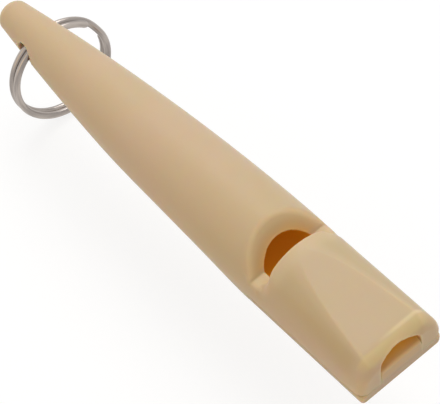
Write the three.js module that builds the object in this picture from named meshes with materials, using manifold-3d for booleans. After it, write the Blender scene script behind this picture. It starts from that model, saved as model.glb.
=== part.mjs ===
// Dog whistle: a tapered moulded body, the fipple block that closes its mouthpiece from below, and
// a split ring of two turns through the tail.
// Millimetres. X runs from the tail to the mouth, Y across the whistle and Z up. The origin is the
// middle of the mouthpiece's flat underside.

import * as THREE from 'three';
import { mergeVertices } from 'three/addons/utils/BufferGeometryUtils.js';
import Module from 'manifold-3d';

const { degToRad, lerp } = THREE.MathUtils;

// Barrel
const BODY_LENGTH = 80;
const BARREL_DIAMETER = 13.4;
const TAIL_DIAMETER = 4.2;
const TAPER_LENGTH = 58;
const TAPER_POWER = 1.82;
const TAIL_DOME_LENGTH = 1.25;

// Mouthpiece
const BASE_LENGTH = 21;
const AXIS_HEIGHT = 1.65;
const FACET_ANGLE = degToRad(6.2);
const FACET_END_HEIGHT = 6.5;
const LIP_RADIUS = 2.4;
const CORNER_RADIUS = 1.1;
const SHOULDER_ANGLE = degToRad(32);
const SHOULDER_WALL = 1.6;

// Window and sound bore
const WINDWAY_LENGTH = 18.4;
const WINDOW_FLOOR_LENGTH = 2.1;
const WINDOW_FLOOR_RISE = 2.35;
const RAMP_ANGLE = degToRad(52);
const BORE_DIAMETER = 8.9;
const BORE_LENGTH = 16;
const BORE_DOME_LENGTH = 1.8;

// Windway channel, its heights taken from the barrel's axis
const CHANNEL_MOUTH_WIDTH = 6.6;
const CHANNEL_WINDOW_WIDTH = 8.4;
const CHANNEL_SPRING_RISE = 3;
const CHANNEL_MOUTH_RISE = 3.98;
const CHANNEL_WINDOW_RISE = 4.9;

// Fipple block
const FLANGE_THICKNESS = 1.4;
const BLOCK_MOUTH_RISE = 1.85;
const BLOCK_WINDOW_RISE = 3.9;
const BLOCK_CLEARANCE = 0.1;

// Split ring
const RING_DIAMETER = 15.9;
const WIRE_DIAMETER = 1;
const TURN_PITCH = 1.46;
const CROSSOVER_ANGLE = degToRad(34);
const END_GAP_ANGLE = degToRad(7);
const CROSSOVER_PLACE = degToRad(84);
const RING_SEAT = 0.7;
const RING_SHIFT = 1.2;
const RING_ROLL = degToRad(3.5);
const RING_HANG = degToRad(84.5);
const HOLE_FROM_TAIL = 7.8;
const HOLE_STRAIGHT = 1.6;
const HOLE_CLEARANCE = 0.25;

// Fineness
const ROUND_STEPS = 56;
const TAPER_STEPS = 18;
const DOME_STEPS = 5;
const ARC_STEPS = 8;
const HOLE_STEPS = 28;
const TURN_STEPS = 36;
const WIRE_SIDES = 8;
const OVERSHOOT = 2;
const MERGE_DISTANCE = 1e-4;

// Places that follow from the sizes
const mouthX = BASE_LENGTH / 2;
const baseRearX = -BASE_LENGTH / 2;
const tailX = mouthX - BODY_LENGTH;
const barrelRadius = BARREL_DIAMETER / 2;
const barrelTop = AXIS_HEIGHT + barrelRadius;
const windowFrontX = mouthX - WINDWAY_LENGTH;
const windowFloorZ = AXIS_HEIGHT + WINDOW_FLOOR_RISE;
const boreEndX = windowFrontX - BORE_LENGTH;
const holeX = tailX + HOLE_FROM_TAIL;
const ringRadius = (RING_DIAMETER - WIRE_DIAMETER) / 2;

// Booleans on closed meshes
const wasm = await Module();
wasm.setup();

function solid(geometry) {
  const bare = geometry.clone();
  bare.deleteAttribute('normal');
  bare.deleteAttribute('uv');
  const merged = mergeVertices(bare, MERGE_DISTANCE);
  const vertProperties = new Float32Array(merged.attributes.position.array);
  const triVerts = new Uint32Array(merged.index.array);
  return new wasm.Manifold(new wasm.Mesh({ numProp: 3, vertProperties, triVerts }));
}

function geometryOf(manifold) {
  const { vertProperties, triVerts } = manifold.getMesh();
  const geometry = new THREE.BufferGeometry();
  geometry.setAttribute('position', new THREE.BufferAttribute(vertProperties, 3));
  geometry.setIndex(new THREE.BufferAttribute(triVerts, 1));
  geometry.computeVertexNormals();
  return geometry;
}

// A solid of revolution about the barrel's axis, from points of x and radius.
function turned(points) {
  const profile = points.map(([x, radius]) => new THREE.Vector2(radius, x));
  const geometry = new THREE.LatheGeometry(profile, ROUND_STEPS);
  geometry.rotateZ(-Math.PI / 2);
  geometry.translate(0, 0, AXIS_HEIGHT);
  return solid(geometry);
}

// A side outline in x and z, extruded right across the whistle.
function acrossY(shape) {
  const width = BARREL_DIAMETER + 2 * OVERSHOOT;
  const geometry = new THREE.ExtrudeGeometry(shape, {
    depth: width,
    bevelEnabled: false,
    curveSegments: ARC_STEPS,
  });
  geometry.rotateX(Math.PI / 2);
  geometry.translate(0, width / 2, 0);
  return solid(geometry);
}

function polygon(points) {
  return new THREE.Shape(points.map(([a, b]) => new THREE.Vector2(a, b)));
}

function slab(lowX, highX, lowZ, highZ) {
  return acrossY(polygon([[lowX, lowZ], [highX, lowZ], [highX, highZ], [lowX, highZ]]));
}

// Barrel radius at a distance from the tail tip, without the domed end.
function taperRadius(fromTail) {
  const left = Math.max(0, 1 - fromTail / TAPER_LENGTH);
  return barrelRadius - (barrelRadius - TAIL_DIAMETER / 2) * left ** TAPER_POWER;
}

function barrelSolid() {
  const points = [];
  for (let i = 0; i < DOME_STEPS; i++) {
    const angle = (i / DOME_STEPS) * Math.PI / 2;
    const fromTail = TAIL_DOME_LENGTH * (1 - Math.cos(angle));
    points.push([tailX + fromTail, taperRadius(TAIL_DOME_LENGTH) * Math.sin(angle)]);
  }
  for (let i = 0; i <= TAPER_STEPS; i++) {
    const fromTail = lerp(TAIL_DOME_LENGTH, TAPER_LENGTH, i / TAPER_STEPS);
    points.push([tailX + fromTail, taperRadius(fromTail)]);
  }
  points.push([mouthX + OVERSHOOT, barrelRadius], [mouthX + OVERSHOOT, 0]);
  return turned(points);
}

// Height of the shoulder's slope, which rises from the belly to the rear of the mouthpiece's base.
function shoulderZ(x) {
  return (x - baseRearX) * Math.tan(SHOULDER_ANGLE);
}

// Side outline: the shoulder under the barrel, the flat base, the rounded lip and the sloping facet.
function sideOutline() {
  const low = AXIS_HEIGHT - barrelRadius - OVERSHOOT;
  const high = barrelTop + OVERSHOOT;
  const rear = tailX - OVERSHOOT;
  const slope = Math.tan(FACET_ANGLE);
  const lipX = mouthX - LIP_RADIUS;
  const lipZ = FACET_END_HEIGHT + LIP_RADIUS * slope - LIP_RADIUS / Math.cos(FACET_ANGLE);
  const shape = new THREE.Shape();
  shape.moveTo(rear, low);
  shape.lineTo(baseRearX + low / Math.tan(SHOULDER_ANGLE), low);
  shape.lineTo(baseRearX, 0);
  shape.lineTo(mouthX, 0);
  shape.absarc(lipX, lipZ, LIP_RADIUS, 0, Math.PI / 2 - FACET_ANGLE, false);
  shape.lineTo(mouthX - (high - FACET_END_HEIGHT) / slope, high);
  shape.lineTo(rear, high);
  return shape;
}

// Plan outline: square at the mouth, with rounded corners.
function planOutline() {
  const side = barrelRadius;
  const shape = new THREE.Shape();
  shape.moveTo(tailX - OVERSHOOT, -side - OVERSHOOT);
  shape.lineTo(windowFrontX, -side - OVERSHOOT);
  shape.lineTo(windowFrontX, -side);
  shape.absarc(mouthX - CORNER_RADIUS, -side + CORNER_RADIUS, CORNER_RADIUS, -Math.PI / 2, 0, false);
  shape.absarc(mouthX - CORNER_RADIUS, side - CORNER_RADIUS, CORNER_RADIUS, 0, Math.PI / 2, false);
  shape.lineTo(windowFrontX, side);
  shape.lineTo(windowFrontX, side + OVERSHOOT);
  shape.lineTo(tailX - OVERSHOOT, side + OVERSHOOT);
  return shape;
}

// The whole whistle's outer form, before it is split into body and fipple block.
function outerForm() {
  const height = BARREL_DIAMETER + 2 * OVERSHOOT;
  const plan = new THREE.ExtrudeGeometry(planOutline(), {
    depth: height,
    bevelEnabled: false,
    curveSegments: ARC_STEPS,
  });
  plan.translate(0, 0, AXIS_HEIGHT - height / 2);
  return barrelSolid().intersect(acrossY(sideOutline())).intersect(solid(plan));
}

// Space of the window: ramp, floor strip and the mouthpiece's rear wall.
function windowSpace() {
  const high = barrelTop + OVERSHOOT;
  const footX = windowFrontX - WINDOW_FLOOR_LENGTH;
  const rampTopX = footX - (high - windowFloorZ) / Math.tan(RAMP_ANGLE);
  return acrossY(polygon([
    [footX, windowFloorZ],
    [windowFrontX, windowFloorZ],
    [windowFrontX, high],
    [rampTopX, high],
  ]));
}

// Blind sound bore, cut off below by the shoulder's wall. It reaches a little into the channel.
function boreSpace() {
  const radius = BORE_DIAMETER / 2;
  const frontX = windowFrontX + 2 * BLOCK_CLEARANCE;
  const points = [];
  for (let i = 0; i <= DOME_STEPS; i++) {
    const angle = (i / DOME_STEPS) * Math.PI / 2;
    points.push([boreEndX + BORE_DOME_LENGTH * (1 - Math.cos(angle)), radius * Math.sin(angle)]);
  }
  points.push([frontX, radius], [frontX, 0]);
  const wallRise = SHOULDER_WALL / Math.cos(SHOULDER_ANGLE);
  const rear = boreEndX - OVERSHOOT;
  const front = frontX + OVERSHOOT;
  const high = barrelTop + OVERSHOOT;
  const above = acrossY(polygon([
    [rear, shoulderZ(rear) + wallRise],
    [front, shoulderZ(front) + wallRise],
    [front, high],
    [rear, high],
  ]));
  return turned(points).intersect(above);
}

// An arched bar along the windway, widening and rising from the mouth to the window. The gap is
// taken off its width and its arch.
function archedBar(rearX, frontX, lowZ, gap) {
  const half = CHANNEL_MOUTH_WIDTH / 2;
  const rise = CHANNEL_MOUTH_RISE - CHANNEL_SPRING_RISE;
  const springZ = AXIS_HEIGHT + CHANNEL_SPRING_RISE;
  const radius = (half * half + rise * rise) / (2 * rise);
  const centreZ = springZ + rise - radius;
  const startAngle = Math.atan2(springZ - centreZ, half);
  const shape = new THREE.Shape();
  shape.moveTo(-half, lowZ);
  shape.lineTo(half, lowZ);
  shape.absarc(0, centreZ, radius, startAngle, Math.PI - startAngle, false);
  const geometry = new THREE.ExtrudeGeometry(shape, {
    depth: frontX - rearX,
    bevelEnabled: false,
    curveSegments: 2 * ARC_STEPS,
  });
  const axes = new THREE.Matrix4().makeBasis(
    new THREE.Vector3(0, 1, 0),
    new THREE.Vector3(0, 0, 1),
    new THREE.Vector3(1, 0, 0),
  );
  geometry.applyMatrix4(axes);
  geometry.translate(rearX, 0, 0);
  const position = geometry.attributes.position;
  for (let i = 0; i < position.count; i++) {
    const part = (mouthX - position.getX(i)) / WINDWAY_LENGTH;
    const width = lerp(CHANNEL_MOUTH_WIDTH, CHANNEL_WINDOW_WIDTH, part) - 2 * gap;
    const archRise = lerp(CHANNEL_MOUTH_RISE, CHANNEL_WINDOW_RISE, part) - CHANNEL_SPRING_RISE - gap;
    const above = Math.max(0, position.getZ(i) - springZ);
    const below = Math.min(position.getZ(i), springZ);
    position.setY(i, position.getY(i) * width / CHANNEL_MOUTH_WIDTH);
    position.setZ(i, below + above * archRise / rise);
  }
  return solid(geometry);
}

// Split ring: two flat turns of wire joined by a crossover, in the frame of the tail hole, with the
// ring's middle along +X and the hole along Y.
function wirePath() {
  const sweep = 4 * Math.PI - CROSSOVER_ANGLE - 2 * END_GAP_ANGLE;
  const steps = Math.round((sweep / (2 * Math.PI)) * TURN_STEPS);
  const crossStart = 2 * Math.PI - CROSSOVER_ANGLE - END_GAP_ANGLE;
  const rolled = new THREE.Vector3(0, Math.cos(RING_ROLL), Math.sin(RING_ROLL));
  const normal = new THREE.Vector3(0, -Math.sin(RING_ROLL), Math.cos(RING_ROLL));
  const centre = new THREE.Vector3(ringRadius - RING_SEAT, RING_SHIFT, 0);
  const path = [];
  for (let i = 0; i <= steps; i++) {
    const turn = (i / steps) * sweep;
    const angle = CROSSOVER_PLACE + END_GAP_ANGLE / 2 + turn;
    const crossed = THREE.MathUtils.smoothstep(turn, crossStart, crossStart + CROSSOVER_ANGLE);
    const outward = new THREE.Vector3(-Math.cos(angle), 0, 0).addScaledVector(rolled, Math.sin(angle));
    const point = centre.clone().addScaledVector(outward, ringRadius);
    point.addScaledVector(normal, lerp(-TURN_PITCH / 2, TURN_PITCH / 2, crossed));
    path.push({ point, outward, normal });
  }
  return path;
}

function wireGeometry(path) {
  const radius = WIRE_DIAMETER / 2;
  const vertices = [];
  const triangles = [];
  for (const { point, outward, normal } of path) {
    for (let k = 0; k < WIRE_SIDES; k++) {
      const angle = (k / WIRE_SIDES) * 2 * Math.PI;
      const corner = point.clone().addScaledVector(outward, radius * Math.cos(angle));
      corner.addScaledVector(normal, radius * Math.sin(angle));
      vertices.push(corner.x, corner.y, corner.z);
    }
  }
  for (let i = 0; i + 1 < path.length; i++) {
    for (let k = 0; k < WIRE_SIDES; k++) {
      const here = i * WIRE_SIDES + k;
      const beside = i * WIRE_SIDES + (k + 1) % WIRE_SIDES;
      triangles.push(here, beside, here + WIRE_SIDES);
      triangles.push(beside, beside + WIRE_SIDES, here + WIRE_SIDES);
    }
  }
  const last = (path.length - 1) * WIRE_SIDES;
  for (let k = 1; k + 1 < WIRE_SIDES; k++) {
    triangles.push(0, k + 1, k);
    triangles.push(last, last + k, last + k + 1);
  }
  const geometry = new THREE.BufferGeometry();
  geometry.setAttribute('position', new THREE.Float32BufferAttribute(vertices, 3));
  geometry.setIndex(triangles);
  geometry.computeVertexNormals();
  return geometry;
}

// Least gap between stretches of the wire that lie more than a quarter turn apart along it.
function leastWireGap(path) {
  let least = Infinity;
  for (let i = 0; i < path.length; i++) {
    for (let j = i + TURN_STEPS / 4; j < path.length; j++) {
      least = Math.min(least, path[i].point.distanceTo(path[j].point));
    }
  }
  return least - WIRE_DIAMETER;
}

// Furthest that the wire's surface reaches from the hole's axis, at a place along that axis.
function wireReach(y) {
  const across = y - RING_SHIFT;
  const down = Math.sqrt(ringRadius ** 2 - across ** 2);
  const inPlane = ringRadius - RING_SEAT - down;
  const outOfPlane = TURN_PITCH / 2 + Math.abs(across) * Math.sin(RING_ROLL);
  const slant = ringRadius / down;
  return Math.hypot(inPlane, outOfPlane) + slant * WIRE_DIAMETER / 2;
}

// Cross hole in the tail: straight in the middle and flared towards both sides.
function tailHole() {
  const tailRadius = taperRadius(HOLE_FROM_TAIL);
  const straightReach = Math.max(...[-HOLE_STRAIGHT, RING_SHIFT, HOLE_STRAIGHT].map(wireReach));
  const mouthReach = Math.max(wireReach(-tailRadius), wireReach(tailRadius), straightReach);
  const flare = (mouthReach - straightReach) / (tailRadius - HOLE_STRAIGHT);
  const outerY = tailRadius + OVERSHOOT;
  const straightRadius = straightReach + HOLE_CLEARANCE;
  const outerRadius = straightRadius + flare * (outerY - HOLE_STRAIGHT);
  const profile = [
    [0, -outerY],
    [outerRadius, -outerY],
    [straightRadius, -HOLE_STRAIGHT],
    [straightRadius, HOLE_STRAIGHT],
    [outerRadius, outerY],
    [0, outerY],
  ].map(([radius, y]) => new THREE.Vector2(radius, y));
  const geometry = new THREE.LatheGeometry(profile, HOLE_STEPS);
  geometry.translate(holeX, 0, AXIS_HEIGHT);
  return solid(geometry);
}

function whistleBody() {
  const low = AXIS_HEIGHT - barrelRadius - OVERSHOOT;
  const flangeSpace = slab(baseRearX - BLOCK_CLEARANCE, mouthX + OVERSHOOT, low, FLANGE_THICKNESS);
  const channel = archedBar(windowFrontX - BLOCK_CLEARANCE, mouthX + OVERSHOOT, low, 0);
  return outerForm()
    .subtract(flangeSpace)
    .subtract(windowSpace())
    .subtract(boreSpace())
    .subtract(channel)
    .subtract(tailHole());
}

function fippleBlock() {
  const flange = outerForm().intersect(slab(baseRearX, mouthX + OVERSHOOT, 0, FLANGE_THICKNESS));
  const profile = acrossY(polygon([
    [windowFrontX, 0],
    [mouthX, 0],
    [mouthX, AXIS_HEIGHT + BLOCK_MOUTH_RISE],
    [windowFrontX, AXIS_HEIGHT + BLOCK_WINDOW_RISE],
  ]));
  const bar = archedBar(windowFrontX - BLOCK_CLEARANCE, mouthX + OVERSHOOT, 0, BLOCK_CLEARANCE);
  return flange.add(bar.intersect(profile));
}

const plastic = new THREE.MeshStandardMaterial({ color: 0xd3b48c, roughness: 0.42, metalness: 0 });
const blockPlastic = new THREE.MeshStandardMaterial({ color: 0xcfae86, roughness: 0.45, metalness: 0 });
const steel = new THREE.MeshStandardMaterial({ color: 0xb9b3b0, roughness: 0.28, metalness: 1 });

function piece(name, geometry, material) {
  const mesh = new THREE.Mesh(geometry, material);
  mesh.name = name;
  return mesh;
}

const path = wirePath();
const gap = leastWireGap(path);
console.log(`split_ring: least gap to itself ${gap.toFixed(2)} mm`);

const whistle = new THREE.Group();
whistle.add(piece('whistle_body', geometryOf(whistleBody()), plastic));
whistle.add(piece('fipple_block', geometryOf(fippleBlock()), blockPlastic));

const ringHang = new THREE.Group();
ringHang.position.set(holeX, 0, AXIS_HEIGHT);
ringHang.rotation.y = RING_HANG;
ringHang.add(piece('split_ring', wireGeometry(path), steel));
whistle.add(ringHang);

export default whistle;
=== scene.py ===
"""Looks of the dog whistle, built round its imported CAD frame.

The body and the fipple block are smooth mouldings. Each is meshed from a distance field, so that
every edge has its own moulded radius. The split ring is wound by Geometry Nodes. The sizes in the
classes are millimetres in the CAD part's frame, and the meshes are written in metres.
"""

from __future__ import annotations

import logging
import math
from dataclasses import dataclass, field
from enum import Enum
from typing import Any, Callable

import bpy
import numpy as np
from mathutils import Matrix, Vector


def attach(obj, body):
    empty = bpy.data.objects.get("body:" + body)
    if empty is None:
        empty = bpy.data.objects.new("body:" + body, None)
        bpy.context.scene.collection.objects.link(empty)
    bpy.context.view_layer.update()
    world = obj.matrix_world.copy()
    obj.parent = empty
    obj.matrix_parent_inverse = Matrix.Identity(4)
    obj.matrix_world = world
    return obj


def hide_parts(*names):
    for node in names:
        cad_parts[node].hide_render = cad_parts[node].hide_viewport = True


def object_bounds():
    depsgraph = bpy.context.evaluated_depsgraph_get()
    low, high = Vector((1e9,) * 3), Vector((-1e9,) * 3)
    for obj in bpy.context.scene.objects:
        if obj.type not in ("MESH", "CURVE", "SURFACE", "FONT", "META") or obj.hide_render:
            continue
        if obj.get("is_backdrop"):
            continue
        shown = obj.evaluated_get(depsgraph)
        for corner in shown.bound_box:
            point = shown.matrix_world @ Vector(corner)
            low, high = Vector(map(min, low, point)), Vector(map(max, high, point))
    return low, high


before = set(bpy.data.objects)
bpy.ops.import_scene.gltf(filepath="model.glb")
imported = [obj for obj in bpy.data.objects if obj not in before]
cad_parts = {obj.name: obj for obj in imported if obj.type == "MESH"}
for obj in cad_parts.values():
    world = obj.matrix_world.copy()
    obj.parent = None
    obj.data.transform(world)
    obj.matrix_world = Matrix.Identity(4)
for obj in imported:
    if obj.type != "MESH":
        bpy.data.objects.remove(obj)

MM = 0.001
AXES = range(3)
UNIT = (0.0, 1.0)
WHITE = (1.0, 1.0, 1.0)
TINY = 1e-6
LOG = logging.getLogger("dog_whistle")

Array = np.ndarray
Field = Callable[[Array, Array, Array], Array]
Colour = tuple[float, float, float]

# First and last value of a range, as numbers or as sockets
Ends = tuple[Any, Any]

# Where a change starts and where it is complete; the second may be the smaller
Reach = tuple[float, float]


class Body(Enum):
    """The CAD bodies that pieces ride on."""

    WHISTLE = "whistle"
    RING = "ring"


class Trait(Enum):
    """Names of the values that a piece's mesh carries for its material."""

    # painted glow: light through the plastic, in the bore, beside it and in the windway
    PAINTED_GLOW = "painted_glow"
    # painted highlight: the lip's line, round the window and on sharp edges
    PAINTED_HIGHLIGHT = "pale"
    # painted warm light: a lighter yellow band over the lip and at the mouth's left corner
    PAINTED_WARM_LIGHT = "painted_warm_light"
    # painted shade on the mouthpiece's sides, below the facet's ridge
    PAINTED_SIDE_SHADE = "painted_side_shade"
    # painted shade on the flange's sides and along its lower edge
    PAINTED_FLANGE_SHADE = "painted_flange_shade"
    # painted reflection on the mouthpiece's facet, lip and rear rim
    PAINTED_SHEEN = "painted_sheen"
    ALONG = "along"
    AROUND = "around"


# Distance fields

LEAST_WIDTH = 1e-4

# Blend width per unit of radius, for an edge between surfaces at a right angle
SQUARE_EDGE = 1.2


def smooth_max(a: Array, b: Array, width: Array | float) -> Array:
    """Intersects two fields with a rounded edge.

    Args:
        a: First field.
        b: Second field.
        width: How far the fields may differ and still be blended.

    Returns:
        The blended field.
    """
    width = np.maximum(width, LEAST_WIDTH)
    overlap = np.maximum(width - np.abs(a - b), 0.0)
    return np.maximum(a, b) + overlap**2 / (4.0 * width)


def smooth_min(a: Array, b: Array, width: Array | float) -> Array:
    """Joins two fields with a rounded inside corner, as smooth_max does for an edge."""
    return -smooth_max(-a, -b, width)


def round_max(a: Array, b: Array, radius: Array | float) -> Array:
    """Intersects two fields that meet at about a right angle, with a circular edge.

    Args:
        a: First field.
        b: Second field.
        radius: Radius of the edge.

    Returns:
        The blended field.
    """
    corner = np.hypot(np.maximum(a + radius, 0.0), np.maximum(b + radius, 0.0))
    return np.minimum(np.maximum(a, b), -radius) + corner


def edge_width(cosine: Array, radius: float) -> Array:
    """Gives the blend width that rounds an edge to a radius.

    Args:
        cosine: Cosine of the angle between the two surfaces' normals.
        radius: Radius of the rounded edge.

    Returns:
        The width for smooth_max.
    """
    half = np.sqrt(np.clip((1.0 + cosine) / 2.0, 0.5, 1.0))
    return 4.0 * radius * (1.0 - half)


def fade(value: Array, low: float, high: float) -> Array:
    """Rises smoothly from 0 at low to 1 at high; low may be the larger."""
    t = np.clip((value - low) / (high - low), 0.0, 1.0)
    return t * t * (3.0 - 2.0 * t)


def fade_near(value: Array, place: float, reach: Reach) -> Array:
    """Fades over a reach that counts from a place."""
    return fade(value, place + reach[0], place + reach[1])


def soft_step(value: Array, width: float) -> Array:
    """The larger of value and 0, with its corner rounded over a width on both sides."""
    middle = (np.clip(value, -width, width) + width) ** 2 / (4.0 * width)
    return np.where(value > width, value, middle)


def graded(*stretches: tuple[float, float, float]) -> Array:
    """Lays out grid lines along one axis.

    Args:
        *stretches: Start, end and spacing of each stretch, in order along the axis.

    Returns:
        The places of the lines.
    """
    lines = [
        np.linspace(low, high, round((high - low) / step), endpoint=False)
        for low, high, step in stretches
    ]
    return np.concatenate([*lines, [stretches[-1][1]]])


@dataclass(frozen=True)
class FieldMesher:
    """Turns a distance field into a closed mesh of quads on a graded grid."""

    xs: Array
    ys: Array
    zs: Array
    settle_rounds: int = 4
    probe: float = 0.01
    longest_move: float = 0.08
    least_slope: float = 0.05

    def mesh(self, shape: Field) -> tuple[Array, Array, Array]:
        """Meshes the surface where the field is 0.

        Args:
            shape: The field, negative inside.

        Returns:
            The points, their outward normals and the quads.
        """
        values = shape(self.xs[:, None, None], self.ys[None, :, None], self.zs[None, None, :])
        inside = values < 0.0
        corners = [(i, j, k) for i in (0, 1) for j in (0, 1) for k in (0, 1)]
        count = sum(self._shifted(inside, c).astype(np.int8) for c in corners)
        mixed = (count > 0) & (count < len(corners))
        cells = np.argwhere(mixed)
        number = np.full(mixed.shape, -1, np.int64)
        number[mixed] = np.arange(len(cells))
        points = self._settle(shape, self._crossings(values, cells, corners))
        quads = np.concatenate([self._walls(inside, number, axis) for axis in AXES])
        normals = self.slope(shape, points)
        normals /= np.linalg.norm(normals, axis=1, keepdims=True)
        return points, normals, quads

    def slope(self, shape: Field, points: Array) -> Array:
        """Measures the field's slope at points.

        Args:
            shape: The field.
            points: Rows of x, y and z.

        Returns:
            The slope at each point.
        """
        slope = np.empty_like(points)
        for axis in AXES:
            step = np.zeros(len(AXES))
            step[axis] = self.probe
            rise = shape(*(points + step).T) - shape(*(points - step).T)
            slope[:, axis] = rise / (2.0 * self.probe)
        return slope

    @staticmethod
    def _shifted(grid: Array, corner: tuple[int, int, int]) -> Array:
        """The grid's values at one corner of every cell."""
        window = tuple(slice(c, grid.shape[a] - 1 + c) for a, c in enumerate(corner))
        return grid[window]

    def _crossings(self, values: Array, cells: Array, corners: list[tuple[int, int, int]]) -> Array:
        """Averages the places where the surface crosses each cell's edges.

        Args:
            values: The field on the grid.
            cells: Indices of the cells that the surface passes.
            corners: The corners of a cell.

        Returns:
            One point for each cell.
        """
        axes = (self.xs, self.ys, self.zs)
        total = np.zeros((len(cells), len(AXES)))
        hits = np.zeros((len(cells), 1))
        for start in corners:
            for axis in AXES:
                if start[axis]:
                    continue
                end = tuple(1 if a == axis else c for a, c in enumerate(start))
                near, far = cells + start, cells + end
                v0, v1 = values[tuple(near.T)], values[tuple(far.T)]
                crossed = ((v0 < 0.0) != (v1 < 0.0))[:, None]
                share = np.where(crossed[:, 0], v0 / np.where(v0 == v1, 1.0, v0 - v1), 0.0)[:, None]
                p0 = np.stack([axes[a][near[:, a]] for a in AXES], axis=1)
                p1 = np.stack([axes[a][far[:, a]] for a in AXES], axis=1)
                total += np.where(crossed, p0 + (p1 - p0) * share, 0.0)
                hits += crossed
        return total / hits

    def _settle(self, shape: Field, points: Array) -> Array:
        """Moves points down the field's slope until they lie on the surface.

        Args:
            shape: The field.
            points: Points near the surface.

        Returns:
            The moved points.
        """
        for _ in range(self.settle_rounds):
            slope = self.slope(shape, points)
            away = shape(*points.T) / np.maximum((slope**2).sum(1), self.least_slope)
            points = points - np.clip(away, -self.longest_move, self.longest_move)[:, None] * slope
        return points

    @staticmethod
    def _walls(inside: Array, number: Array, axis: int) -> Array:
        """Makes a quad across every grid edge along one axis that the surface cuts.

        Args:
            inside: Which grid points are inside.
            number: The point number of each cell.
            axis: The edges' direction.

        Returns:
            Rows of four point numbers, turned outwards.
        """
        low = np.moveaxis(inside, axis, 0)[:-1]
        high = np.moveaxis(inside, axis, 0)[1:]
        number = np.moveaxis(number, axis, 0)
        edges = np.argwhere((low != high)[:, 1:-1, 1:-1]) + (0, 1, 1)
        i, j, k = edges.T
        quads = np.stack(
            [number[i, j - 1, k - 1], number[i, j, k - 1], number[i, j, k], number[i, j - 1, k]], axis=1
        )
        outwards = low[i, j, k] if axis != 1 else ~low[i, j, k]
        return np.where(outwards[:, None], quads, quads[:, ::-1])


# Form of the whistle


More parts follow.
